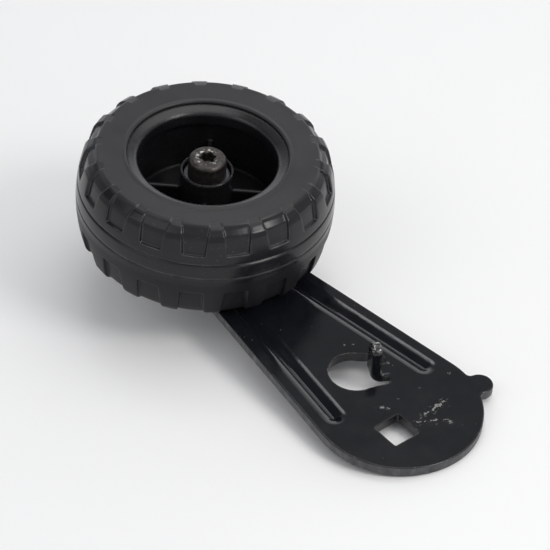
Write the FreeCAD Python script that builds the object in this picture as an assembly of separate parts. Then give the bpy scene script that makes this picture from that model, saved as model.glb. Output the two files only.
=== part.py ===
import FreeCAD, Part
import math
import os

# Support wheel on a swing arm. Millimetres, +Z up along the axle.
# Origin: centre of the square hole, on the underside of the arm plate.
# +X runs from the axle towards the rounded end of the arm.
# Shapes are drawn about the axle and moved to AXLE when they are written.

V = FreeCAD.Vector
UP = V(0, 0, 1)
AXLE = V(-124.0, 8.5, 0.0)

# arm plate
PLATE_T = 4.0
NARROW_R = 16.0
WIDE_R = 32.5
WIDE_X = 114.5
EAR_R = 5.0
EAR_AT = (124.2, 33.2)
EAR_BLEND = 2.0
EDGE_ROUND = 0.4
SQUARE_SIDE = 12.0
SQUARE_CORNER = 0.8
AXLE_HOLE_R = 5.1

# stiffening beads pressed into the plate
BEAD_DEPTH = 1.7
BEAD_HALF = 5.6
BEAD_UNDER_HALF = 6.6
BEAD_FOOT = 0.7
BEAD_SHOULDER = 3.0
BEAD_LIP_SLOPE = 0.36
BEAD_SKIM = 0.05
BEAD_INSET = 8.9
BEAD_START_X = 36.0
BEAD_END_X = 104.5

# window with its bent-up tongue; "along" runs from the round end to the tongue
WINDOW_AT = (91.5, -0.9)
WINDOW_R = 10.0
WINDOW_ANGLE = 62.0
WINDOW_LENGTH = 13.0
WINDOW_END_HALF = 7.6
WINDOW_CORNER = 2.4
TONGUE_W = 7.0
TONGUE_H = 13.0
TONGUE_AT = 5.4
TONGUE_ROUND = 1.1
BEND_R = 1.0

# wheel: heights are from the wheel's middle plane at WHEEL_Z
WHEEL_Z = 27.0
WHEEL_R = 50.0
WHEEL_HALF = 21.7
TYRE_BORE_R = 31.55
TYRE_LIP = 20.8
SIDEWALL_R = 42.4
SHOULDER_R = 46.6
SHOULDER_Z = 19.1
CROWN_R = 60.4
# tread grooves round the wheel: height, depth, half width
GROOVES = [(7.1, 0.8, 0.55), (0.9, 0.45, 0.4)]
POCKETS = 18
POCKET_PHASE = 15.0
POCKET_DEPTH = 1.3
POCKET_FOOT_UPPER = 11.1
POCKET_FOOT_LOWER = 6.5
POCKET_TOP_DEG = 12.0
POCKET_FOOT_DEG = 9.8

RIM_R = 31.5
RIM_EDGE_Z = 20.0
LIP_R = 26.8
LIP_Z = 18.3
LIP_ROUND = 1.8
LEDGE_Z = 13.1
BARREL_R = 28.6
WEB_TOP = -8.0
WEB_BOTTOM = -11.5
HUB_R = 10.2
HUB_TOP = 12.9
HUB_CUP_R = 9.4
HUB_CUP_Z = 9.1
HUB_FOOT_R = 12.0
HUB_FOOT_Z = -18.0
HUB_BORE_R = 8.5
SPOKES = 4
SPOKE_PHASE = 47.7
SPOKE_T = 1.5
SPOKE_TOP = 3.8
SPOKE_FOOT = -16.0
SPOKE_ROOT = 0.6

# axle stack, sizes up from the underside of the arm plate
SLEEVE_R = 7.0
BUSH_CLEARANCE = 0.05
BUSH_LENGTH = 12.0
COLLAR_R = 11.0
COLLAR_TOP = 8.7
BOLT_R = 5.0
HEAD_R = 7.4
HEAD_BASE = 37.8
HEAD_TOP = 45.9
HEAD_ROUND = 1.8
RECESS_DEPTH = 4.2
RECESS_CORE_R = 2.6
LOBE_R = 0.85
LOBE_AT = 2.53
WASHER_T = 1.5
HEAD_WASHER_R = 9.0
NUT_WASHER_T = 2.0
NUT_WASHER_R = 10.5
NUT_AF = 17.0
NUT_HEX_H = 7.5
NUT_COLLAR_H = 2.5
NUT_COLLAR_R = 7.7
THREAD_PITCH = 1.5
THREAD_DEPTH = 0.75
BOLT_END = -16.5
FIT = 0.05


def polar(radius, degrees):
    angle = math.radians(degrees)
    return radius * math.cos(angle), radius * math.sin(angle)


def rounded_wire(corners, to_3d):
    """Closed wire through (u, v, radius) corners, each rounded to its radius."""
    pts = [V(u, v, 0) for u, v, _ in corners]
    count = len(pts)
    starts = []
    mids = []
    ends = []
    for i in range(count):
        here = pts[i]
        to_prev = (pts[i - 1] - here).normalize()
        to_next = (pts[(i + 1) % count] - here).normalize()
        radius = corners[i][2]
        if radius <= 0:
            starts.append(here)
            mids.append(None)
            ends.append(here)
            continue
        half = to_prev.getAngle(to_next) / 2
        reach = radius / math.tan(half)
        bisector = (to_prev + to_next).normalize()
        centre = here + bisector * (radius / math.sin(half))
        starts.append(here + to_prev * reach)
        mids.append(centre - bisector * radius)
        ends.append(here + to_next * reach)
    edges = []
    for i in range(count):
        if mids[i] is not None:
            edges.append(Part.Arc(to_3d(starts[i]), to_3d(mids[i]), to_3d(ends[i])).toShape())
        nxt = (i + 1) % count
        if ends[i].distanceToPoint(starts[nxt]) > 1e-6:
            edges.append(Part.makeLine(to_3d(ends[i]), to_3d(starts[nxt])))
    return Part.Wire(Part.__sortEdges__(edges))


def turned(corners, z0=0.0, degrees=360.0):
    """Solid of revolution about the axle from (radius, height, corner radius)."""
    wire = rounded_wire(corners, lambda p: V(p.x, 0, p.y + z0))
    return Part.Face(wire).revolve(V(0, 0, 0), UP, degrees)


def ring(outer, inner, low, high, edge=0.3):
    return turned([(inner, low, 0), (outer, low, edge), (outer, high, edge), (inner, high, 0)])


def prism(corners, low, high):
    wire = rounded_wire(corners, lambda p: V(p.x, p.y, low))
    return Part.Face(wire).extrude(V(0, 0, high - low))


def side_slope():
    return math.asin((WIDE_R - NARROW_R) / WIDE_X)


def plate_blank():
    a = side_slope()
    normal = V(-math.sin(a), math.cos(a), 0)
    low_n = V(-math.sin(a), -math.cos(a), 0)
    wide = V(WIDE_X, 0, 0)
    top_a = normal * NARROW_R
    top_b = wide + normal * WIDE_R
    bot_a = low_n * NARROW_R
    bot_b = wide + low_n * WIDE_R
    outline = Part.Wire([
        Part.makeLine(top_a, top_b),
        Part.Arc(top_b, wide + V(WIDE_R, 0, 0), bot_b).toShape(),
        Part.makeLine(bot_b, bot_a),
        Part.Arc(bot_a, V(-NARROW_R, 0, 0), top_a).toShape(),
    ])
    blank = Part.Face(outline).extrude(V(0, 0, PLATE_T))
    ear = Part.makeCylinder(EAR_R, PLATE_T, V(EAR_AT[0], EAR_AT[1], 0))
    blank = blend_ear(blank.fuse(ear).removeSplitter())
    rims = [edge for edge in blank.Edges if edge.BoundBox.ZLength < 0.01]
    return blank.makeFillet(EDGE_ROUND, rims)


def blend_ear(blank):
    """Round the two inner corners where the ear meets the rounded end."""
    centre = V(WIDE_X, 0, 0)
    ear = V(EAR_AT[0], EAR_AT[1], 0)
    corners = []
    for edge in blank.Edges:
        if len(edge.Vertexes) != 2:
            continue
        a, b = edge.Vertexes[0].Point, edge.Vertexes[1].Point
        upright = abs(a.x - b.x) < 1e-6 and abs(a.y - b.y) < 1e-6
        flat = V(a.x, a.y, 0)
        on_ear = abs(flat.distanceToPoint(ear) - EAR_R) < 1e-3
        on_end = abs(flat.distanceToPoint(centre) - WIDE_R) < 1e-3
        if upright and on_ear and on_end:
            corners.append(edge)
    return blank.makeFillet(EAR_BLEND, corners)


def bead_profile(half, depth, skim):
    """Half of a bead's section: rounded foot, straight flank, gentle shoulder."""
    steps = 20
    lip_drop = BEAD_LIP_SLOPE * BEAD_SHOULDER / 2
    flank_run = half - BEAD_SHOULDER - BEAD_FOOT / 2
    flank_slope = (depth - lip_drop) / flank_run
    points = []
    for i in range(steps + 1):
        y = half * i / steps
        if y < BEAD_FOOT:
            rise = flank_slope * y * y / (2 * BEAD_FOOT)
        elif y < half - BEAD_SHOULDER:
            rise = flank_slope * (y - BEAD_FOOT / 2)
        else:
            rise = depth - BEAD_LIP_SLOPE * (half - y) ** 2 / (2 * BEAD_SHOULDER)
        points.append((y, rise - depth + skim))
    return points


def bead_solid(half, depth, skim, back, z0, start, end):
    """Straight bead with round ends between the curve and the height 'back'."""
    points = bead_profile(half, depth, skim)
    run = end - start
    along = V(run).normalize()
    across = UP.cross(along)

    def section(sign, at):
        def put(y, z):
            return at + across * (sign * y) + UP * (z0 + z)
        curve = Part.BSplineCurve()
        curve.interpolate([put(y, z) for y, z in points])
        edges = [
            curve.toShape(),
            Part.makeLine(put(*points[-1]), put(half, back)),
            Part.makeLine(put(half, back), put(0, back)),
            Part.makeLine(put(0, back), put(*points[0])),
        ]
        return Part.Face(Part.Wire(edges))

    pieces = [
        section(1, start).extrude(run),
        section(-1, start).extrude(run),
        section(1, start).revolve(start, UP, 180),
        section(-1, end).revolve(end, UP, 180),
    ]
    body = pieces[0]
    for piece in pieces[1:]:
        body = body.fuse(piece)
    return body.removeSplitter()


def bead_line(sign):
    a = side_slope()
    normal = V(-math.sin(a), sign * math.cos(a), 0)
    along = V(math.cos(a), sign * math.sin(a), 0)
    base = normal * (NARROW_R - BEAD_INSET)
    start = base + along * ((BEAD_START_X - base.x) / along.x)
    end = base + along * ((BEAD_END_X - base.x) / along.x)
    return start, end


def press_beads(plate):
    for sign in (1, -1):
        start, end = bead_line(sign)
        boss = bead_solid(BEAD_UNDER_HALF, BEAD_DEPTH, BEAD_SKIM, 1.0, 0.0, start, end)
        trough = bead_solid(BEAD_HALF, BEAD_DEPTH, BEAD_SKIM, 1.0, PLATE_T, start, end)
        plate = plate.fuse(boss).cut(trough)
    return plate


def window_frame(shape):
    """Move a shape drawn along +X from the window's centre into the plate."""
    shape.rotate(V(0, 0, 0), UP, WINDOW_ANGLE)
    shape.translate(V(WINDOW_AT[0], WINDOW_AT[1], 0))
    return shape


def window_cutter():
    low, high = -5.0, PLATE_T + 5.0
    round_end = Part.makeCylinder(WINDOW_R, high - low, V(0, 0, low))
    flare = prism([
        (0, -WINDOW_R, 0),
        (WINDOW_LENGTH, -WINDOW_END_HALF, WINDOW_CORNER),
        (WINDOW_LENGTH, WINDOW_END_HALF, WINDOW_CORNER),
        (0, WINDOW_R, 0),
    ], low, high)
    return window_frame(round_end.fuse(flare))


def tongue():
    """Strip left in the window, bent up and rounded at its tip."""
    half = TONGUE_W / 2
    inner = TONGUE_AT + PLATE_T
    bend_x = inner + BEND_R
    bend_z = PLATE_T + BEND_R
    flat = Part.makeBox(WINDOW_LENGTH + 1.5 - bend_x, TONGUE_W, PLATE_T, V(bend_x, -half, 0))
    outer_r = BEND_R + PLATE_T
    start = V(bend_x, -half, 0)
    section = Part.Wire([
        Part.Arc(start, V(bend_x - outer_r * math.sqrt(0.5), -half, bend_z - outer_r * math.sqrt(0.5)),
                 V(TONGUE_AT, -half, bend_z)).toShape(),
        Part.makeLine(V(TONGUE_AT, -half, bend_z), V(inner, -half, bend_z)),
        Part.Arc(V(inner, -half, bend_z),
                 V(bend_x - BEND_R * math.sqrt(0.5), -half, bend_z - BEND_R * math.sqrt(0.5)),
                 V(bend_x, -half, PLATE_T)).toShape(),
        Part.makeLine(V(bend_x, -half, PLATE_T), start),
    ])
    bend = Part.Face(section).extrude(V(0, TONGUE_W, 0))
    straight_top = PLATE_T + TONGUE_H - half
    upright = Part.makeBox(PLATE_T, TONGUE_W, straight_top - bend_z, V(TONGUE_AT, -half, bend_z))
    tip = Part.makeCylinder(half, PLATE_T, V(TONGUE_AT, 0, straight_top), V(1, 0, 0))
    strip = flat.fuse([bend, upright, tip]).removeSplitter()
    return window_frame(strip.makeFillet(TONGUE_ROUND, tongue_edges(strip)))


def tongue_edges(strip):
    """The long edges of the strip's faces, from the bend round its tip."""
    edges = []
    for edge in strip.Edges:
        box = edge.BoundBox
        across = box.XLength > 0.9 * PLATE_T and box.ZLength < 0.01
        along_bend_line = box.YLength > 0.9 * TONGUE_W and box.ZLength < 0.01
        if box.ZMin > PLATE_T and not across and not along_bend_line:
            edges.append(edge)
    return edges


def square_cutter():
    half = SQUARE_SIDE / 2
    corners = [(-half, -half), (half, -half), (half, half), (-half, half)]
    cutter = prism([(x, y, SQUARE_CORNER) for x, y in corners], -1.0, PLATE_T + 1.0)
    cutter.translate(V(-AXLE.x, -AXLE.y, 0))
    return cutter


def arm_plate():
    plate = press_beads(plate_blank())
    plate = plate.cut(window_cutter())
    plate = plate.fuse(tongue())
    plate = plate.cut(square_cutter())
    plate = plate.cut(Part.makeCylinder(AXLE_HOLE_R, PLATE_T + 2, V(0, 0, -1)))
    return plate.removeSplitter()


def crown(offset):
    """Barrel-shaped solid under the tread's crown, set in by the offset."""
    top = WHEEL_HALF + 3
    radius = CROWN_R - offset
    centre_r = WHEEL_R - CROWN_R
    edge_r = centre_r + math.sqrt(radius ** 2 - top ** 2)
    section = Part.Wire([
        Part.makeLine(V(0, 0, -top), V(edge_r, 0, -top)),
        Part.Arc(V(edge_r, 0, -top), V(WHEEL_R - offset, 0, 0), V(edge_r, 0, top)).toShape(),
        Part.makeLine(V(edge_r, 0, top), V(0, 0, top)),
        Part.makeLine(V(0, 0, top), V(0, 0, -top)),
    ])
    return Part.Face(section).revolve(V(0, 0, 0), UP, 360)


def tyre_blank():
    flank_r = WHEEL_R + 0.3
    flank_z = 11.7
    upper = [
        (TYRE_BORE_R, TYRE_LIP, 0.5),
        (SIDEWALL_R, WHEEL_HALF, 1.5),
        (SHOULDER_R, SHOULDER_Z, 1.2),
        (flank_r, flank_z, 0),
    ]
    lower = [(r, -z, c) for r, z, c in reversed(upper)]
    return turned(upper + lower).common(crown(0.0))


def groove_cutter(height, depth, half):
    surface = WHEEL_R - CROWN_R + math.sqrt(CROWN_R ** 2 - height ** 2)
    over = 0.4
    wide = half * (depth + over) / depth
    return turned([
        (surface - depth, height, 0),
        (surface + over, height - wide, 0),
        (surface + over, height + wide, 0),
    ])


def pocket_floor():
    """Solid that fills the tyre up to the floor of its upper pockets."""
    core = turned([
        (0, WHEEL_HALF + 1, 0),
        (SIDEWALL_R - 0.4, WHEEL_HALF + 1, 0),
        (SIDEWALL_R - 0.4, WHEEL_HALF + 0.1, 0),
        (SHOULDER_R - 1.2, SHOULDER_Z - 0.9, 0.8),
        (WHEEL_R, 9.0, 0),
        (WHEEL_R, 0, 0),
        (0, 0, 0),
    ])
    return core.common(crown(POCKET_DEPTH))


def pocket_cutter(foot_z, floor):
    """One upper pocket, centred on +X, wider towards the sidewall."""
    foot = WHEEL_R * math.tan(math.radians(POCKET_FOOT_DEG / 2))
    top = WHEEL_R * math.tan(math.radians(POCKET_TOP_DEG / 2))
    high = WHEEL_HALF + 2
    corners = [
        (-foot, foot_z, 0.8),
        (foot, foot_z, 0.8),
        (top, high, 0),
        (-top, high, 0),
    ]
    wire = rounded_wire(corners, lambda p: V(SIDEWALL_R - 6, p.x, p.y))
    block = Part.Face(wire).extrude(V(20, 0, 0))
    return block.cut(floor)


def wheel_tyre():
    floor = pocket_floor()
    upper = pocket_cutter(POCKET_FOOT_UPPER, floor)
    lower = pocket_cutter(POCKET_FOOT_LOWER, floor).mirror(V(0, 0, 0), UP)
    cutters = [groove_cutter(*groove) for groove in GROOVES]
    for i in range(POCKETS):
        for source in (upper, lower):
            cutter = source.copy()
            cutter.rotate(V(0, 0, 0), UP, POCKET_PHASE + 360.0 * i / POCKETS)
            cutters.append(cutter)
    tyre = tyre_blank().cut(cutters)
    tyre.translate(V(0, 0, WHEEL_Z))
    return tyre


def rib(inner, outer, low, high):
    """Thin radial rib whose ends and root sink a little into what it joins."""
    sink = SPOKE_ROOT
    if low >= WEB_TOP:
        low -= sink
    else:
        high += sink
    size = V(outer - inner + 2 * sink, SPOKE_T, high - low)
    return Part.makeBox(size.x, size.y, size.z, V(inner - sink, -SPOKE_T / 2, low))


def wheel_rim():
    rim = turned([
        (HUB_CUP_R, HUB_TOP, 0.3),
        (HUB_R, HUB_TOP, 0.3),
        (HUB_R, WEB_TOP, 1.0),
        (BARREL_R, WEB_TOP, 1.0),
        (BARREL_R, LEDGE_Z - 0.9, 0.3),
        (LIP_R, LEDGE_Z, 0.25),
        (LIP_R, LIP_Z, LIP_ROUND),
        (RIM_R, RIM_EDGE_Z, 0.2),
        (RIM_R, -RIM_EDGE_Z, 0.2),
        (LIP_R, -LIP_Z, 0.5),
        (LIP_R, WEB_BOTTOM, 0.8),
        (HUB_FOOT_R, WEB_BOTTOM, 0.8),
        (HUB_FOOT_R, HUB_FOOT_Z, 0.5),
        (HUB_BORE_R, HUB_FOOT_Z, 0.3),
        (HUB_BORE_R, HUB_CUP_Z, 0),
        (HUB_CUP_R, HUB_CUP_Z, 0),
    ])
    above = rib(HUB_R, BARREL_R, WEB_TOP, SPOKE_TOP)
    below = rib(HUB_FOOT_R, LIP_R, SPOKE_FOOT, WEB_BOTTOM)
    for i in range(SPOKES):
        for source in (above, below):
            spoke = source.copy()
            spoke.rotate(V(0, 0, 0), UP, SPOKE_PHASE + 360.0 * i / SPOKES)
            rim = rim.fuse(spoke)
    rim = rim.removeSplitter()
    rim.translate(V(0, 0, WHEEL_Z))
    return rim


def bush(low):
    inner = SLEEVE_R + BUSH_CLEARANCE
    outer = HUB_BORE_R - FIT
    return turned([
        (inner, low, 0.3),
        (outer, low, 0.3),
        (outer, low + BUSH_LENGTH, 0.3),
        (inner, low + BUSH_LENGTH, 0.3),
    ])


def thread_points(low, high):
    """Ring-groove thread section from the bottom up."""
    points = []
    turns = int((high - low) / THREAD_PITCH)
    for i in range(turns):
        z = low + i * THREAD_PITCH
        points.append((BOLT_R, z, 0))
        points.append((BOLT_R, z + 0.25 * THREAD_PITCH, 0))
        points.append((BOLT_R - THREAD_DEPTH, z + 0.625 * THREAD_PITCH, 0))
    points.append((BOLT_R, low + turns * THREAD_PITCH, 0))
    return points


def axle_bolt():
    threads = thread_points(BOLT_END + 1.2, -1.0)
    corners = [(0, BOLT_END, 0), (BOLT_R - 1.1, BOLT_END, 0)]
    corners += threads
    corners += [
        (BOLT_R, HEAD_BASE, 0),
        (HEAD_R, HEAD_BASE, 0.3),
        (HEAD_R, HEAD_TOP, HEAD_ROUND),
        (0, HEAD_TOP, 0),
    ]
    bolt = turned(corners)
    floor_z = HEAD_TOP - RECESS_DEPTH
    recess = Part.makeCylinder(RECESS_CORE_R, RECESS_DEPTH + 1, V(0, 0, floor_z))
    for i in range(6):
        x, y = polar(LOBE_AT, 60.0 * i)
        lobe = Part.makeCylinder(LOBE_R, RECESS_DEPTH + 1, V(x, y, floor_z))
        recess = recess.fuse(lobe)
    point = Part.makeCone(0.2, RECESS_CORE_R, 0.8, V(0, 0, floor_z - 0.8))
    return bolt.cut(recess.fuse(point).removeSplitter())


def hexagon(across_flats, low, high):
    corner_r = across_flats / math.sqrt(3)
    corners = []
    for i in range(6):
        x, y = polar(corner_r, 60.0 * i)
        corners.append((x, y, 0))
    return prism(corners, low, high)


def lock_nut():
    top = -NUT_WASHER_T
    shelf = top - NUT_HEX_H
    foot = shelf - NUT_COLLAR_H
    corner_r = NUT_AF / math.sqrt(3)
    flat_r = NUT_AF / 2
    slope = math.tan(math.radians(30))
    drop = (corner_r + 0.2 - flat_r + 0.4) * slope
    envelope = turned([
        (0, shelf, 0),
        (flat_r - 0.4, shelf, 0),
        (corner_r + 0.2, shelf + drop, 0),
        (corner_r + 0.2, top - drop, 0),
        (flat_r - 0.4, top, 0),
        (0, top, 0),
    ])
    nut = hexagon(NUT_AF, shelf, top).common(envelope)
    cap = turned([
        (0, foot, 0),
        (NUT_COLLAR_R - 0.9, foot, 0),
        (NUT_COLLAR_R, foot + 0.9, 0.4),
        (NUT_COLLAR_R, shelf + 0.5, 0),
        (0, shelf + 0.5, 0),
    ])
    nut = nut.fuse(cap)
    bore = Part.makeCylinder(BOLT_R + FIT, 30, V(0, 0, foot - 10))
    seat = Part.makeCylinder(6.5, NUT_COLLAR_H - 0.4, V(0, 0, foot + 0.4))
    mouth = Part.makeCylinder(6.1, 2, V(0, 0, foot - 1))
    return nut.cut([bore, seat, mouth]).removeSplitter()


def nut_insert():
    foot = -NUT_WASHER_T - NUT_HEX_H - NUT_COLLAR_H
    return turned([
        (BOLT_R + FIT, foot + 0.45, 0.3),
        (6.45, foot + 0.45, 0),
        (6.45, foot + NUT_COLLAR_H - 0.05, 0),
        (BOLT_R + FIT, foot + NUT_COLLAR_H - 0.05, 0),
    ])


def build():
    washer_z = HEAD_BASE - WASHER_T
    return {
        "arm_plate": arm_plate(),
        "axle_bolt": axle_bolt(),
        "head_washer": ring(HEAD_WASHER_R, BOLT_R + 0.15, washer_z, HEAD_BASE),
        "axle_sleeve": ring(SLEEVE_R, BOLT_R + 0.1, PLATE_T, washer_z),
        "spacer_collar": ring(COLLAR_R, SLEEVE_R + FIT, PLATE_T, COLLAR_TOP, 0.5),
        "wheel_tyre": wheel_tyre(),
        "wheel_rim": wheel_rim(),
        "hub_bush_upper": bush(washer_z - 0.3 - BUSH_LENGTH),
        "hub_bush_lower": bush(WHEEL_Z + HUB_FOOT_Z),
        "nut_washer": ring(NUT_WASHER_R, BOLT_R + 0.3, -NUT_WASHER_T, 0.0, 0.4),
        "lock_nut": lock_nut(),
        "nut_insert": nut_insert(),
    }


def main():
    os.makedirs("parts", exist_ok=True)
    for name, shape in build().items():
        shape.translate(AXLE)
        shape.exportStep(os.path.join("parts", name + ".step"))
        box = shape.BoundBox
        print(name, shape.isValid(), len(shape.Solids), round(shape.Volume, 1),
              [round(v, 2) for v in (box.XMin, box.YMin, box.ZMin, box.XMax, box.YMax, box.ZMax)])


main()
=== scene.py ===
import math

import bpy
from mathutils import Matrix, Vector

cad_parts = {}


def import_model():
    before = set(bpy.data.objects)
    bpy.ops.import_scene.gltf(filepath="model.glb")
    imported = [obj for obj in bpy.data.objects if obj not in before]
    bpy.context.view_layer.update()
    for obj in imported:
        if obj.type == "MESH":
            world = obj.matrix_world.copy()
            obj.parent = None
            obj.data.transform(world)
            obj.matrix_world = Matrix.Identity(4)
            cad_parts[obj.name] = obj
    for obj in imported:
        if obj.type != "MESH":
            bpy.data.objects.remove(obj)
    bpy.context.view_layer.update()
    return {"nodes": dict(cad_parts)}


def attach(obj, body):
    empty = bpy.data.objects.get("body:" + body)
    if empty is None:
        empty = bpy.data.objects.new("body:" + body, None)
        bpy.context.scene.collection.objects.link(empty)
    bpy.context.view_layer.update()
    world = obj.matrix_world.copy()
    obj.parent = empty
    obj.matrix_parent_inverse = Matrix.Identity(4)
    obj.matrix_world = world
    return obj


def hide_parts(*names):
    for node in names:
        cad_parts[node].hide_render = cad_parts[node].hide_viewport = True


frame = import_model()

NODES = frame["nodes"]
MM = 0.001
AXLE = Vector((-124.0, 8.5, 27.0)) * MM

# floor: touches the rounded end of the arm and the end of the bolt
REST_END = Vector((23.0, 8.5, 0.0)) * MM
REST_BOLT = Vector((-120.1, 8.5, -16.5)) * MM
FLOOR_HALF = 4.0

# camera: angles to the arm plate in degrees, distance in metres, lens and sensor in mm
CAM_AZIMUTH = 46.62
CAM_ELEVATION = 41.99
CAM_ROLL = 5.0
CAM_TARGET = Vector((-79.93, 7.37, 18.12)) * MM
CAM_DISTANCE = 1.1393
CAM_LENS = 196.4
CAM_SENSOR = 36.0

# plan directions as seen from the camera
AWAY = Vector((-0.727, 0.687, 0.0))
RIGHT = Vector((0.643, 0.765, 0.0))
UP = Vector((0.0, 0.0, 1.0))
CENTRE = Vector((-0.07, 0.01, 0.02))

# lights: metres, watts; colours are nearly white
WARM = (1.0, 0.985, 0.96)
NEAR_WHITE = (1.0, 0.99, 0.98)
LAMP_DISTANCE = 1.3
OVERHEAD_PLACE = CENTRE + RIGHT * 0.35 + AWAY * 0.45 + UP * 1.30

# sky: (sine of the height, tone) all round, and the tones that replace them beyond the part
SKY_TINT = (0.955, 0.975, 1.0)
SKY_STRENGTH = 1.33
TONES_AROUND = ((0.0, 0.46), (0.34, 0.40), (0.64, 0.40), (0.87, 0.50), (1.0, 0.60))
TONES_BEYOND = ((0.0, 0.94), (0.36, 0.98), (0.50, 0.52), (0.60, 0.245), (0.76, 0.22),
                (0.88, 0.34), (1.0, 0.60))
BEYOND_FROM = 0.35
BEYOND_FULL = 0.98
# a dark flag high on the left, and a bright strip beyond the part:
# degrees left of the far side, degrees up, outer and inner half angle in degrees, tone
SKY_PATCHES = ((66, 50, 27, 17, 0.07), (17, 54, 8, 5, 2.3))

# marks on the plate, in mm: discs are (x, y, radius), lines are (x, y, x, y, half width)
OPENING_DISCS = ((0.0, 0.0, 9.6), (-33.6, 5.0, 14.5))
SCUFF_DISCS = ((0.2, 13.3, 3.0), (-0.1, 17.5, 3.2), (-0.5, 23.5, 3.4), (1.6, 9.0, 2.4),
               (4.2, 13.5, 3.0), (7.5, 19.0, 3.0))
CHIP_DISCS = ((-12.0, 3.4, 1.3), (-10.2, 4.6, 1.1), (-28.5, 21.0, 0.9), (-10.8, 36.0, 0.9),
              (-11.8, 11.1, 0.7), (-11.3, 21.7, 0.7), (-45.8, 14.0, 0.8), (-44.0, 17.0, 0.8))
SCRATCH_LINES = ((0.2, 13.2, 0.0, 15.6, 0.42), (0.1, 17.4, -0.3, 19.2, 0.40),
                 (-0.2, 20.6, -0.6, 24.0, 0.62), (1.6, 9.0, 1.9, 9.9, 0.22),
                 (2.6, 11.2, 3.1, 12.2, 0.25), (4.0, 13.6, 4.6, 15.4, 0.25),
                 (6.3, 17.4, 7.3, 19.6, 0.22), (-12.4, 3.0, -12.1, 3.9, 0.22),
                 (-10.2, 4.5, -9.9, 5.4, 0.20))

# colours that lie over a base colour
BARE_STEEL = (0.42, 0.41, 0.40)
DUST = (0.16, 0.155, 0.15)
WASHER_GREY = (0.105, 0.10, 0.12)
# bright steel colour that paints a highlight round the bolt's recess
PAINTED_HIGHLIGHT_STEEL = (0.62, 0.60, 0.56)

# radii that edges are shaded with
SHEET_EDGE = 0.6 * MM
TYRE_EDGE = 0.6 * MM
RIM_EDGE = 1.8 * MM
BOLT_EDGE = 1.0 * MM
FINE_EDGE = 0.3 * MM
BEVEL_SAMPLES = 6

# tyre, in mm about the wheel's centre: radius and height
TYRE_BORE = 31.56
TYRE_LIP_Z = 20.8
BORE_HEIGHTS = (10.0, 0.0, -10.0)
SIDEWALL = (42.4, 21.7)
SIDEWALL_IN = (40.6, 21.55)
SIDEWALL_FOOT = (32.6, 20.885)
SHOULDER = (46.6, 19.1)
SHOULDER_IN = (44.2, 20.58)
LIP_UNDER_Z = 19.6
LUG_TOP_Z = 17.2
TREAD_R = 49.99
CROWN_RADIUS = 60.4
SHARP_DEG = 50

# grooves: height, depth, half width, and heights of the plain rows above each
GROOVES = ((0.9, 0.45, 0.45, (2.6, 4.2, 5.4)), (7.1, 0.85, 0.62, (8.6, 9.6)))
# a groove's section: (share of its half width, share of its depth)
GROOVE_SECTION = ((-1.25, 0.0), (-0.85, 0.06), (-0.42, 0.62), (0.0, 1.0), (0.42, 0.62),
                  (0.85, 0.06), (1.25, 0.0))
ROWS_BELOW_GROOVES = (-5.0, -3.4, -1.8, -0.6)

# pockets in the tread's shoulders: half widths at foot and top, and the floor's own corners
POCKETS = 18
POCKET_PHASE = 15.0
POCKET_DEPTH = 1.3
POCKET_FOOT_UP = 11.1
POCKET_FOOT_DOWN = 6.5
POCKET_HALF_FOOT = 4.29
POCKET_HALF_TOP = 5.20
FLOOR_TOP_Z = 16.75
FLOOR_SHOULDER = (45.45, 18.2)
FLOOR_SHOULDER_IN = (43.55, 20.2)
FLOOR_SIDEWALL = (42.4, 21.44)
FLOOR_SIDEWALL_IN = (40.9, 21.56)
# the pocket's foot: (height above it, drop, height of the dropped point above it)
LEDGE = ((-0.5, 0.0, 0.0), (-0.18, 0.0, 0.0), (0.0, 0.07, -0.03), (0.12, 0.32, 0.0),
         (0.22, 0.75, 0.05), (0.34, 1.12, 0.14), (0.55, 1.26, 0.36), (0.9, 1.3, 0.75))
LEDGE_END = 1.5
WALL_STEPS = 8
SHOULDER_POINTS = 14
SIDEWALL_POINTS = 9
# a pocket's side wall: (mm outwards from the wall's line, depth share)
WALL_SECTION = ((-0.5, 1.0), (-0.3, 0.97), (-0.17, 0.85), (-0.06, 0.5), (0.05, 0.16),
                (0.17, 0.03), (0.34, 0.0))
WALL_END = 0.34


# ---------------------------------------------------------------- stage

def camera():
    az = math.radians(CAM_AZIMUTH)
    el = math.radians(CAM_ELEVATION)
    look = Vector((-math.sin(az) * math.cos(el), math.cos(az) * math.cos(el), -math.sin(el)))
    cam_data = bpy.data.cameras.new("camera")
    cam_data.lens = CAM_LENS
    cam_data.sensor_width = CAM_SENSOR
    cam = bpy.data.objects.new("camera", cam_data)
    bpy.context.scene.collection.objects.link(cam)
    turn = look.to_track_quat("-Z", "Y").to_matrix()
    turn = turn @ Matrix.Rotation(math.radians(CAM_ROLL), 3, "Z")
    cam.matrix_world = Matrix.Translation(CAM_TARGET - look * CAM_DISTANCE) @ turn.to_4x4()
    bpy.context.scene.camera = cam


def floor_turn():
    """Rotation that carries +Z to the floor's normal."""
    along = (REST_END - REST_BOLT).normalized()
    side = Vector((0, 1, 0))
    normal = along.cross(side).normalized()
    return Matrix((along, side, normal)).transposed()


def floor():
    size = FLOOR_HALF
    mesh = bpy.data.meshes.new("floor")
    corners = [(-size, -size, 0), (size, -size, 0), (size, size, 0), (-size, size, 0)]
    mesh.from_pydata(corners, [], [(0, 1, 2, 3)])
    obj = bpy.data.objects.new("floor", mesh)
    bpy.context.scene.collection.objects.link(obj)
    obj.matrix_world = Matrix.Translation(REST_END) @ floor_turn().to_4x4()
    mesh.materials.append(floor_paper())


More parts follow.
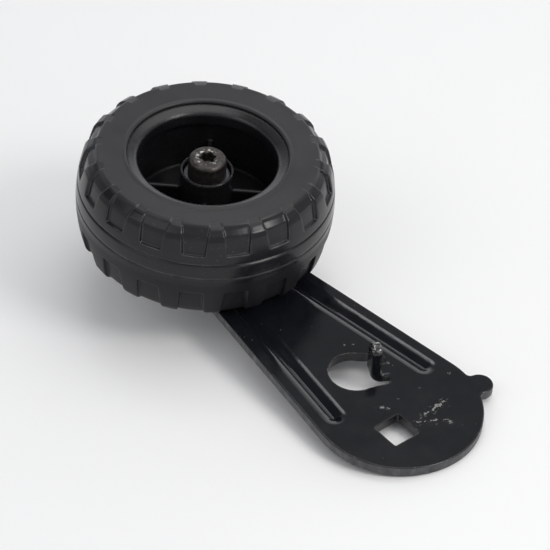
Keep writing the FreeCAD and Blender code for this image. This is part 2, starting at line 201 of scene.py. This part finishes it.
def area_light(name, place, size, power, colour, aimed=True):
    """Softbox that faces the part, or straight down with its sides along RIGHT and AWAY."""
    data = bpy.data.lights.new(name, "AREA")
    data.shape = "RECTANGLE"
    data.size, data.size_y = size
    data.energy = power
    data.color = colour
    obj = bpy.data.objects.new(name, data)
    bpy.context.scene.collection.objects.link(obj)
    turn = Matrix((RIGHT, AWAY, UP)).transposed()
    if aimed:
        turn = (CENTRE - place).to_track_quat("-Z", "Y").to_matrix()
    obj.matrix_world = Matrix.Translation(place) @ turn.to_4x4()


def compass(turn, rise, distance):
    """Point seen from the part's centre: degrees left of the far side, degrees up, metres."""
    side = AWAY * math.cos(math.radians(turn)) - RIGHT * math.sin(math.radians(turn))
    rise = math.radians(rise)
    return CENTRE + (side * math.cos(rise) + UP * math.sin(rise)) * distance


def lights():
    area_light("overhead", OVERHEAD_PLACE, (1.3, 1.2), 5.8, WARM, False)
    area_light("right_front", compass(-120, 48, LAMP_DISTANCE), (0.42, 0.42), 5.4, WARM)
    area_light("left_front", compass(120, 45, LAMP_DISTANCE), (0.8, 0.8), 1.6, NEAR_WHITE)


def world():
    """Even sky, with a bright band along the far horizon and a dark gap above it."""
    studio = bpy.data.worlds.new("studio")
    bpy.context.scene.world = studio
    studio.use_nodes = True
    tree = studio.node_tree
    coords = tree.nodes.new("ShaderNodeTexCoord").outputs["Generated"]

    def tinted(tone):
        return tuple(tone * part for part in SKY_TINT)

    def ramp(height, stops):
        node = tree.nodes.new("ShaderNodeValToRGB")
        set_ramp(node, [(at, tinted(tone)) for at, tone in stops])
        tree.links.new(height, node.inputs[0])
        return node.outputs["Color"]

    def maths(kind, a, b):
        node = tree.nodes.new("ShaderNodeMath")
        node.operation = kind
        for value, socket in zip((a, b), node.inputs):
            if isinstance(value, float):
                socket.default_value = value
            else:
                tree.links.new(value, socket)
        return node.outputs[0]

    def towards(direction):
        node = tree.nodes.new("ShaderNodeVectorMath")
        node.operation = "DOT_PRODUCT"
        node.inputs[1].default_value = direction
        tree.links.new(coords, node.inputs[0])
        return node.outputs["Value"]

    def step(value, low, high):
        node = tree.nodes.new("ShaderNodeMapRange")
        node.interpolation_type = "SMOOTHSTEP"
        node.inputs["From Min"].default_value = low
        node.inputs["From Max"].default_value = high
        tree.links.new(value, node.inputs["Value"])
        return node.outputs["Result"]

    def blend(share, under):
        """Mix over what is under it, with its upper colour still to be set."""
        node = tree.nodes.new("ShaderNodeMix")
        node.data_type = "RGBA"
        tree.links.new(share, node.inputs["Factor"])
        tree.links.new(under, node.inputs["A"])
        return node

    split = tree.nodes.new("ShaderNodeSeparateXYZ")
    tree.links.new(coords, split.inputs[0])
    height = split.outputs["Z"]
    # how far a direction's plan points away from the camera, whatever its height
    level = maths("SQRT", maths("SUBTRACT", 1.0001, maths("MULTIPLY", height, height)), 0.0)
    facing = maths("DIVIDE", towards(AWAY), level)
    mixed = blend(step(facing, BEYOND_FROM, BEYOND_FULL), ramp(height, TONES_AROUND))
    tree.links.new(ramp(height, TONES_BEYOND), mixed.inputs["B"])
    for turn, rise, outer, inner, tone in SKY_PATCHES:
        nearness = towards((compass(turn, rise, 1.0) - CENTRE).normalized())
        cover = step(nearness, math.cos(math.radians(outer)), math.cos(math.radians(inner)))
        mixed = blend(cover, mixed.outputs["Result"])
        mixed.inputs["B"].default_value = (*tinted(tone), 1.0)
    background = tree.nodes["Background"]
    tree.links.new(mixed.outputs["Result"], background.inputs["Color"])
    background.inputs["Strength"].default_value = SKY_STRENGTH


# ---------------------------------------------------------------- material helpers

def set_ramp(node, stops):
    elements = node.color_ramp.elements
    while len(elements) < len(stops):
        elements.new(0.5)
    for element, (at, colour) in zip(elements, stops):
        element.position = at
        element.color = (*colour, 1.0)


class Graph:
    """Short names for the nodes of one material."""

    def __init__(self, name):
        self.mat = bpy.data.materials.new(name)
        self.mat.use_nodes = True
        self.nodes = self.mat.node_tree.nodes
        self.links = self.mat.node_tree.links
        self.bsdf = self.nodes["Principled BSDF"]
        texture = self.nodes.new("ShaderNodeTexCoord")
        self.coords = texture.outputs["Object"]
        self.object_normal = texture.outputs["Normal"]

    def put(self, value, socket):
        if isinstance(value, bpy.types.NodeSocket):
            self.links.new(value, socket)
        else:
            socket.default_value = value

    def set(self, **values):
        for key, value in values.items():
            self.put(value, self.bsdf.inputs[key.replace("_", " ").title()])

    def shine(self, value):
        self.put(value, self.bsdf.inputs["Specular IOR Level"])

    def stretched(self, scale):
        node = self.nodes.new("ShaderNodeMapping")
        node.inputs["Scale"].default_value = scale
        self.links.new(self.coords, node.inputs["Vector"])
        return node.outputs["Vector"]

    def height(self, vector=None):
        node = self.nodes.new("ShaderNodeSeparateXYZ")
        self.links.new(vector or self.coords, node.inputs[0])
        return node.outputs["Z"]

    def plan(self):
        """Place with its height taken out."""
        return self.vector_math("MULTIPLY", self.coords, (1.0, 1.0, 0.0))

    def noise(self, scale, detail=3.0, rough=0.55, vector=None, distortion=0.0):
        node = self.nodes.new("ShaderNodeTexNoise")
        node.inputs["Scale"].default_value = scale
        node.inputs["Detail"].default_value = detail
        node.inputs["Roughness"].default_value = rough
        node.inputs["Distortion"].default_value = distortion
        self.links.new(vector or self.coords, node.inputs["Vector"])
        return node.outputs["Fac"]

    def warped(self, vector, scale, amount):
        node = self.nodes.new("ShaderNodeTexNoise")
        node.inputs["Scale"].default_value = scale
        node.inputs["Detail"].default_value = 3.0
        self.links.new(vector, node.inputs["Vector"])
        shift = self.vector_math("SUBTRACT", node.outputs["Color"], (0.5, 0.5, 0.5))
        shift = self.vector_math("MULTIPLY", shift, (amount, amount, 0.0))
        return self.vector_math("ADD", vector, shift)

    def cells(self, scale):
        node = self.nodes.new("ShaderNodeTexVoronoi")
        node.inputs["Scale"].default_value = scale
        self.links.new(self.coords, node.inputs["Vector"])
        return node.outputs["Distance"]

    def ramp(self, value, stops):
        node = self.nodes.new("ShaderNodeValToRGB")
        set_ramp(node, stops)
        self.links.new(value, node.inputs[0])
        return node.outputs["Color"]

    def span(self, value, low, high, out_low=0.0, out_high=1.0):
        node = self.nodes.new("ShaderNodeMapRange")
        node.interpolation_type = "SMOOTHSTEP"
        self.put(value, node.inputs["Value"])
        node.inputs["From Min"].default_value = low
        node.inputs["From Max"].default_value = high
        node.inputs["To Min"].default_value = out_low
        node.inputs["To Max"].default_value = out_high
        return node.outputs["Result"]

    def math(self, kind, a, b=0.0, c=0.0):
        node = self.nodes.new("ShaderNodeMath")
        node.operation = kind
        for value, socket in zip((a, b, c), node.inputs):
            self.put(value, socket)
        return node.outputs[0]

    def both(self, a, b):
        return self.math("MULTIPLY", a, b)

    def either(self, a, b):
        return self.math("MAXIMUM", a, b)

    def vector_math(self, kind, a, b):
        node = self.nodes.new("ShaderNodeVectorMath")
        node.operation = kind
        self.put(a, node.inputs[0])
        self.put(b, node.inputs[1])
        return node.outputs["Value" if kind in ("LENGTH", "DOT_PRODUCT", "DISTANCE") else "Vector"]

    def mix(self, factor, a, b):
        node = self.nodes.new("ShaderNodeMix")
        node.data_type = "RGBA"
        self.put(factor, node.inputs["Factor"])
        self.put(a if isinstance(a, bpy.types.NodeSocket) else (*a, 1.0), node.inputs["A"])
        self.put(b if isinstance(b, bpy.types.NodeSocket) else (*b, 1.0), node.inputs["B"])
        return node.outputs["Result"]

    def bump(self, height, distance, strength, normal):
        node = self.nodes.new("ShaderNodeBump")
        node.inputs["Strength"].default_value = strength
        node.inputs["Distance"].default_value = distance
        self.links.new(height, node.inputs["Height"])
        self.links.new(normal, node.inputs["Normal"])
        return node.outputs["Normal"]

    def true_normal(self):
        return self.nodes.new("ShaderNodeNewGeometry").outputs["Normal"]

    def bevel(self, radius):
        node = self.nodes.new("ShaderNodeBevel")
        node.samples = BEVEL_SAMPLES
        node.inputs["Radius"].default_value = radius
        return node.outputs["Normal"]

    def edge(self, rounded, none, full):
        """Share of an edge: where the rounded normal leaves the true one."""
        return self.span(self.vector_math("DOT_PRODUCT", rounded, self.true_normal()), none, full)


# ---------------------------------------------------------------- materials

def floor_paper():
    g = Graph("floor_paper")
    paper = g.ramp(g.noise(3.0, 2.0), [(0.35, (0.885, 0.885, 0.885)), (0.65, (0.905, 0.905, 0.905))])
    g.set(base_color=paper, roughness=0.75)
    return g.mat


def spots(g, marks, core=0.2):
    """Union of soft discs given as (x, y, radius) in mm on the plate; core is the full share."""
    total = None
    for x, y, radius in marks:
        away = g.vector_math("DISTANCE", g.plan(), (x * MM, y * MM, 0.0))
        disc = g.span(away, radius * MM, core * radius * MM)
        total = disc if total is None else g.either(total, disc)
    return total


def stroke(g, marks):
    """Union of soft lines given as (x, y, x, y, half width) in mm on the plate, with ragged sides."""
    ragged = g.noise(900.0, 4.0, 0.8)
    flat = g.warped(g.plan(), 330.0, 2.4 * MM)
    total = None
    for x0, y0, x1, y1, half in marks:
        run = (Vector((x1, y1, 0.0)) - Vector((x0, y0, 0.0))) * MM
        start = g.vector_math("SUBTRACT", flat, (x0 * MM, y0 * MM, 0.0))
        along = g.math("DIVIDE", g.vector_math("DOT_PRODUCT", start, run), run.length_squared)
        share = g.math("MINIMUM", g.either(along, 0.0), 1.0)
        foot = g.nodes.new("ShaderNodeVectorMath")
        foot.operation = "SCALE"
        foot.inputs[0].default_value = run
        g.put(share, foot.inputs["Scale"])
        away = g.vector_math("DISTANCE", start, foot.outputs["Vector"])
        reach = g.span(ragged, 0.40, 0.62, -0.2 * half * MM, 1.5 * half * MM)
        line = g.span(g.math("SUBTRACT", away, reach), 0.10 * MM, -0.05 * MM)
        total = line if total is None else g.either(total, line)
    return total


def arm_paint():
    """Black paint; the outline's cut face is greyer, partly its sheared finish and partly a painted
    reflection of the bright floor, and scuffs, tip and edges show steel.
    """
    g = Graph("arm_paint")
    height = g.height()
    # cut face of the outline only: not the two openings, and not the tongue
    side = g.span(g.math("ABSOLUTE", g.height(g.object_normal)), 0.45, 0.15)
    side = g.both(side, g.math("SUBTRACT", 1.0, spots(g, OPENING_DISCS, 0.85)))
    side = g.both(side, g.span(height, 4.4 * MM, 4.1 * MM))

    mottle = g.noise(60.0, 4.0, 0.6)
    paint = g.ramp(mottle, [(0.3, (0.0048, 0.0054, 0.0072)), (0.7, (0.0074, 0.0082, 0.0104))])
    streaks = g.noise(220.0, 4.0, 0.7, g.stretched((1.0, 1.0, 0.35)))
    # cut-face colour: streaky sheared steel, made lighter as a painted reflection of the bright floor
    cut_face_and_painted_reflection = g.ramp(streaks, [(0.35, (0.024, 0.025, 0.028)), (0.55, (0.060, 0.062, 0.067)),
                                (0.75, (0.15, 0.15, 0.16))])
    colour = g.mix(side, paint, cut_face_and_painted_reflection)

    # scuffs beside the square hole, chips and scratches, all on the top face
    scuffs = g.noise(900.0, 5.0, 0.75, g.stretched((1.0, 0.45, 1.0)), 0.6)
    scuff_mask = g.both(g.span(scuffs, 0.56, 0.63), spots(g, SCUFF_DISCS))
    chip_mask = g.both(g.span(g.noise(1400.0, 4.0, 0.7), 0.50, 0.60), spots(g, CHIP_DISCS))
    worn = g.either(g.either(scuff_mask, chip_mask), stroke(g, SCRATCH_LINES))
    worn = g.both(worn, g.span(height, 3.0 * MM, 3.6 * MM))
    # the tongue's tip, the edges and a few stray specks
    tip = g.both(g.span(height, 14.4 * MM, 17.0 * MM), g.span(scuffs, 0.50, 0.60))
    rounded = g.bevel(SHEET_EDGE)
    edge_break = g.span(g.noise(420.0, 5.0, 0.75), 0.56, 0.66)
    edge_mask = g.both(g.edge(rounded, 0.995, 0.93), edge_break)
    stray = g.both(g.span(g.cells(260.0), 0.075, 0.03), g.span(g.noise(35.0, 2.0), 0.55, 0.68))
    worn = g.either(worn, tip)
    worn = g.either(worn, edge_mask)
    worn = g.either(worn, g.both(stray, 0.6))
    colour = g.mix(worn, colour, BARE_STEEL)

    gloss = g.span(g.noise(140.0, 4.0, 0.6), 0.3, 0.7, 0.09, 0.15)
    gloss = g.either(gloss, g.both(side, 0.42))
    normal = g.bump(g.noise(1500.0, 2.0, 0.5), 0.04 * MM, 0.5, rounded)
    normal = g.bump(g.noise(130.0, 3.0, 0.5), 0.25 * MM, 0.35, normal)
    normal = g.bump(g.both(streaks, side), 0.5 * MM, 0.6, normal)
    g.set(base_color=colour, roughness=gloss, metallic=g.both(worn, 0.6), normal=normal)
    return g.mat


def tyre_rubber():
    """Dark tread and a duller side wall painted greyer, as painted light on the upper wall's upward
    face; edges shine and the lower half is dull.
    """
    g = Graph("tyre_black")
    cloud = g.noise(45.0, 4.0, 0.6)
    tread = g.ramp(cloud, [(0.3, (0.0085, 0.0088, 0.0102)), (0.7, (0.0118, 0.0122, 0.0140))])
    # side-wall colour: lighter than the tread as painted light, for the upper wall that faces the
    # lamps
    wall = g.ramp(cloud, [(0.3, (0.0235, 0.0235, 0.0250)), (0.7, (0.0300, 0.0300, 0.0315))])
    radius = g.vector_math("LENGTH", g.plan(), (0.0, 0.0, 0.0))
    flank = g.span(radius, 43.8 * MM, 42.4 * MM)
    colour = g.mix(flank, tread, wall)
    specks = g.span(g.noise(700.0, 5.0, 0.75), 0.60, 0.72)
    dust = g.both(specks, g.span(g.noise(30.0, 3.0), 0.45, 0.65))
    colour = g.mix(g.both(dust, 0.35), colour, DUST)

    patchy = g.noise(90.0, 4.0, 0.6)
    lower = g.span(g.height(), 2.0 * MM, -4.0 * MM)
    rough = g.span(patchy, 0.3, 0.7, 0.17, 0.26)
    rough = g.either(rough, g.both(flank, g.span(patchy, 0.3, 0.7, 0.34, 0.44)))
    rough = g.either(rough, g.both(lower, 0.42))

    rounded = g.bevel(TYRE_EDGE)
    edge = g.both(g.edge(rounded, 0.998, 0.95), g.span(patchy, 0.40, 0.60, 0.35, 1.0))
    shine = g.math("MULTIPLY_ADD", edge, 1.2, 0.31)
    g.shine(g.both(shine, g.math("SUBTRACT", 1.0, g.both(lower, 0.35))))
    normal = g.bump(g.noise(1500.0, 3.0, 0.6), 0.02 * MM, 0.25, rounded)
    normal = g.bump(g.noise(110.0, 3.0, 0.5), 0.3 * MM, 0.18, normal)
    g.set(base_color=colour, roughness=rough, normal=normal)
    return g.mat


def rim_plastic():
    g = Graph("rim_black")
    cloud = g.noise(70.0, 4.0, 0.6)
    colour = g.ramp(cloud, [(0.3, (0.0075, 0.0075, 0.0085)), (0.7, (0.0110, 0.0110, 0.0125))])
    rough = g.span(g.noise(120.0, 4.0, 0.6), 0.3, 0.7, 0.20, 0.30)
    normal = g.bump(g.noise(1600.0, 2.0, 0.5), 0.03 * MM, 0.5, g.bevel(RIM_EDGE))
    normal = g.bump(g.noise(90.0, 3.0, 0.5), 0.3 * MM, 0.25, normal)
    # the web and the foot of the spokes are duller than the moulded faces
    g.shine(g.span(g.height(), 19.4 * MM, 25.0 * MM, 0.10, 0.5))
    g.set(base_color=colour, roughness=rough, normal=normal)
    return g.mat


def black_oxide():
    """Dark steel, brownish on the bolt and greyer on the washer round its head."""
    g = Graph("black_steel")
    colour = g.ramp(g.noise(420.0, 5.0, 0.7), [(0.32, (0.030, 0.027, 0.025)),
                                              (0.52, (0.060, 0.054, 0.050)),
                                              (0.72, (0.13, 0.115, 0.105))])
    from_axle = g.vector_math("DISTANCE", g.plan(), (AXLE.x, AXLE.y, 0.0))
    colour = g.mix(g.span(from_axle, 7.50 * MM, 7.60 * MM), colour, WASHER_GREY)
    # painted highlight round the recess, on the head only
    collar = g.both(g.span(from_axle, 5.2 * MM, 4.2 * MM), g.span(from_axle, 3.3 * MM, 3.5 * MM))
    collar = g.both(collar, g.span(g.height(), 30.0 * MM, 34.0 * MM))
    bright = g.both(collar, g.span(g.noise(620.0, 4.0, 0.7), 0.51, 0.60))
    colour = g.mix(bright, colour, PAINTED_HIGHLIGHT_STEEL)
    rough = g.span(g.noise(600.0, 4.0, 0.7), 0.3, 0.7, 0.30, 0.46)
    normal = g.bump(g.noise(1700.0, 4.0, 0.6), 0.06 * MM, 0.6, g.bevel(BOLT_EDGE))
    g.set(base_color=colour, roughness=rough, metallic=0.75, normal=normal)
    return g.mat


def zinc():
    g = Graph("zinc_steel")
    colour = g.ramp(g.noise(260.0, 4.0, 0.6), [(0.3, (0.46, 0.47, 0.49)), (0.7, (0.60, 0.61, 0.63))])
    rough = g.span(g.noise(500.0, 4.0, 0.7), 0.3, 0.7, 0.28, 0.44)
    brushed = g.noise(900.0, 4.0, 0.6, g.stretched((1.0, 1.0, 6.0)))
    normal = g.bump(brushed, 0.05 * MM, 0.5, g.bevel(FINE_EDGE))
    g.set(base_color=colour, roughness=rough, metallic=1.0, normal=normal)
    return g.mat


def nylon(name, low, high):
    g = Graph(name)
    colour = g.ramp(g.noise(180.0, 4.0, 0.6), [(0.3, low), (0.7, high)])
    rough = g.span(g.noise(300.0, 4.0, 0.6), 0.3, 0.7, 0.42, 0.56)
    normal = g.bump(g.noise(1500.0, 3.0, 0.6), 0.04 * MM, 0.5, g.bevel(FINE_EDGE))
    g.set(base_color=colour, roughness=rough, normal=normal)
    return g.mat


# ---------------------------------------------------------------- tyre

def crown(z, offset=0.0):
    """Radius of the tread at a height, or of the pocket floors at an offset below it."""
    return TREAD_R - CROWN_RADIUS + math.sqrt((CROWN_RADIUS - offset) ** 2 - z * z)


def rounded_path(corners, steps=6):
    """Open path through (r, z, radius) corners with arcs of straight-sided steps."""
    path = []
    for i, (r, z, radius) in enumerate(corners):
        here = Vector((r, z))
        if radius <= 0 or i in (0, len(corners) - 1):
            path.append(here)
            continue
        back = (Vector(corners[i - 1][:2]) - here).normalized()
        ahead = (Vector(corners[i + 1][:2]) - here).normalized()
        half = back.angle(ahead) / 2
        reach = radius / math.tan(half)
        middle = here + (back + ahead).normalized() * (radius / math.sin(half))
        first = here + back * reach - middle
        last = here + ahead * reach - middle
        for k in range(steps + 1):
            path.append(middle + first.slerp(last, k / steps))
    return path


def resample(path, count):
    """The same path with points at equal distances along it."""
    lengths = [0.0]
    for a, b in zip(path, path[1:]):
        lengths.append(lengths[-1] + (b - a).length)
    out = []
    j = 0
    for i in range(count):
        want = lengths[-1] * i / (count - 1)
        while j < len(path) - 2 and lengths[j + 1] < want:
            j += 1
        run = lengths[j + 1] - lengths[j]
        share = 0.0 if run == 0 else min(1.0, (want - lengths[j]) / run)
        out.append(path[j].lerp(path[j + 1], share))
    return out


def shoulder_rows(foot):
    """Rows from a pocket's foot to the bore: (lug point, pocket floor point)."""
    rows = []
    for dz, drop, floor_dz in LEDGE:
        z = foot + dz
        base_z = z if drop == 0.0 else foot + floor_dz
        rows.append((Vector((crown(z), z)), Vector((crown(base_z) - drop, base_z))))
    first = foot + LEDGE_END
    for i in range(WALL_STEPS + 1):
        share = i / WALL_STEPS
        z = first + (LUG_TOP_Z - first) * share
        zf = first + (FLOOR_TOP_Z - first) * share
        rows.append((Vector((crown(z), z)), Vector((crown(zf, POCKET_DEPTH), zf))))
    floor_top = (crown(FLOOR_TOP_Z, POCKET_DEPTH), FLOOR_TOP_Z, 0)
    lug = rounded_path([(crown(LUG_TOP_Z), LUG_TOP_Z, 0), (*SHOULDER, 1.2), (*SHOULDER_IN, 0)])
    base = rounded_path([floor_top, (*FLOOR_SHOULDER, 0.8), (*FLOOR_SHOULDER_IN, 0)])
    rows += list(zip(resample(lug, SHOULDER_POINTS)[1:], resample(base, SHOULDER_POINTS)[1:]))
    lug = rounded_path([(*SHOULDER_IN, 0), (*SIDEWALL, 1.5), (*SIDEWALL_IN, 0)])
    base = rounded_path([(*FLOOR_SHOULDER_IN, 0), (*FLOOR_SIDEWALL, 0.8), (*FLOOR_SIDEWALL_IN, 0)])
    rows += list(zip(resample(lug, SIDEWALL_POINTS)[1:], resample(base, SIDEWALL_POINTS)[1:]))
    side = rounded_path([(*SIDEWALL_IN, 0), (*SIDEWALL_FOOT, 0), (TYRE_BORE, TYRE_LIP_Z, 0.5),
                         (TYRE_BORE, LIP_UNDER_Z, 0)], 5)
    for point in resample(side[:2], 8)[1:] + side[2:]:
        rows.append((point, point))
    return rows


def middle_rows():
    """Rows across the tread between the lower and upper pockets."""
    rows = [Vector((crown(z), z)) for z in ROWS_BELOW_GROOVES]
    for centre, depth, half, above in GROOVES:
        for offset, share in GROOVE_SECTION:
            z = centre + offset * half
            rows.append(Vector((crown(z) - depth * share, z)))
        for z in above:
            rows.append(Vector((crown(z), z)))
    return [(row, row) for row in rows]


def wheel_columns():
    """(kind, amount, depth share, side) across one pocket's pitch, from its middle plane."""
    right = [("in", 0.0, 1.0), ("in", 0.35, 1.0), ("in", 0.7, 1.0)]
    right += [("wall", amount, depth) for amount, depth in WALL_SECTION]
    right += [("out", 0.4, 0.0), ("out", 0.75, 0.0)]
    left = [(kind, -amount if kind != "wall" else amount, depth) for kind, amount, depth in right[1:]]
    columns = [(kind, amount, depth, -1) for kind, amount, depth in reversed(left)]
    columns += [(kind, amount, depth, 1) for kind, amount, depth in right]
    return columns + [("seam", 1.0, 0.0, 1)]


def column_angle(column, row_r, row_z, foot):
    kind, amount, _, sign = column
    share = min(1.0, max(0.0, (abs(row_z) - foot) / (SIDEWALL[1] - foot)))
    half = POCKET_HALF_FOOT + (POCKET_HALF_TOP - POCKET_HALF_FOOT) * share
    wall = math.asin(half / row_r)
    pitch = math.pi / POCKETS
    if kind == "seam":
        return pitch
    if kind == "in":
        return wall * amount
    if kind == "wall":
        return sign * (wall + amount / row_r)
    edge = wall + WALL_END / row_r
    return sign * (edge + (pitch - edge) * abs(amount))


def tyre_mesh():
    """The tyre's skin as one closed band of rows and columns, on the wheel's own axes."""
    upper = shoulder_rows(POCKET_FOOT_UP)
    lower = [(Vector((a.x, -a.y)), Vector((b.x, -b.y)))
             for a, b in reversed(shoulder_rows(POCKET_FOOT_DOWN))]
    bore = [(Vector((TYRE_BORE, z)), Vector((TYRE_BORE, z))) for z in BORE_HEIGHTS]
    rows = lower + middle_rows() + upper + bore
    columns = wheel_columns()
    verts = []
    for lug, base in rows:
        foot = POCKET_FOOT_UP if lug.y > 0 else POCKET_FOOT_DOWN
        for i in range(POCKETS):
            start = math.radians(POCKET_PHASE) + 2 * math.pi * i / POCKETS
            for column in columns:
                point = lug.lerp(base, column[2])
                angle = start + column_angle(column, lug.x, lug.y, foot)
                x = point.x * math.cos(angle)
                y = point.x * math.sin(angle)
                verts.append((x * MM, y * MM, point.y * MM))
    around = POCKETS * len(columns)
    faces = []
    for i in range(len(rows)):
        here = i * around
        above = ((i + 1) % len(rows)) * around
        for j in range(around):
            k = (j + 1) % around
            faces.append((here + j, here + k, above + k, above + j))
    mesh = bpy.data.meshes.new("tyre_shell")
    mesh.from_pydata(verts, [], faces)
    mesh.validate()
    mesh.shade_smooth()
    mesh.set_sharp_from_angle(angle=math.radians(SHARP_DEG))
    obj = bpy.data.objects.new("tyre_shell", mesh)
    bpy.context.scene.collection.objects.link(obj)
    obj.matrix_world = Matrix.Translation(AXLE)
    mesh.materials.append(tyre_rubber())
    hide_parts("wheel_tyre")
    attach(obj, "wheel")


def finish_nodes():
    """Materials of the pieces that keep their CAD shape."""
    zinc_mat = zinc()
    bush_mat = nylon("bush_nylon", (0.66, 0.65, 0.60), (0.74, 0.73, 0.69))
    dark_steel = black_oxide()
    finishes = {
        "arm_plate": arm_paint(),
        "wheel_rim": rim_plastic(),
        "axle_bolt": dark_steel,
        "head_washer": dark_steel,
        "axle_sleeve": zinc_mat,
        "spacer_collar": zinc_mat,
        "nut_washer": zinc_mat,
        "lock_nut": zinc_mat,
        "hub_bush_upper": bush_mat,
        "hub_bush_lower": bush_mat,
        "nut_insert": nylon("insert_nylon", (0.045, 0.10, 0.34), (0.06, 0.13, 0.42)),
    }
    for node, material in finishes.items():
        mesh = NODES[node].data
        mesh.materials.clear()
        mesh.materials.append(material)


camera()
floor()
lights()
world()
tyre_mesh()
finish_nodes()
bpy.context.scene.view_settings.view_transform = "Standard"
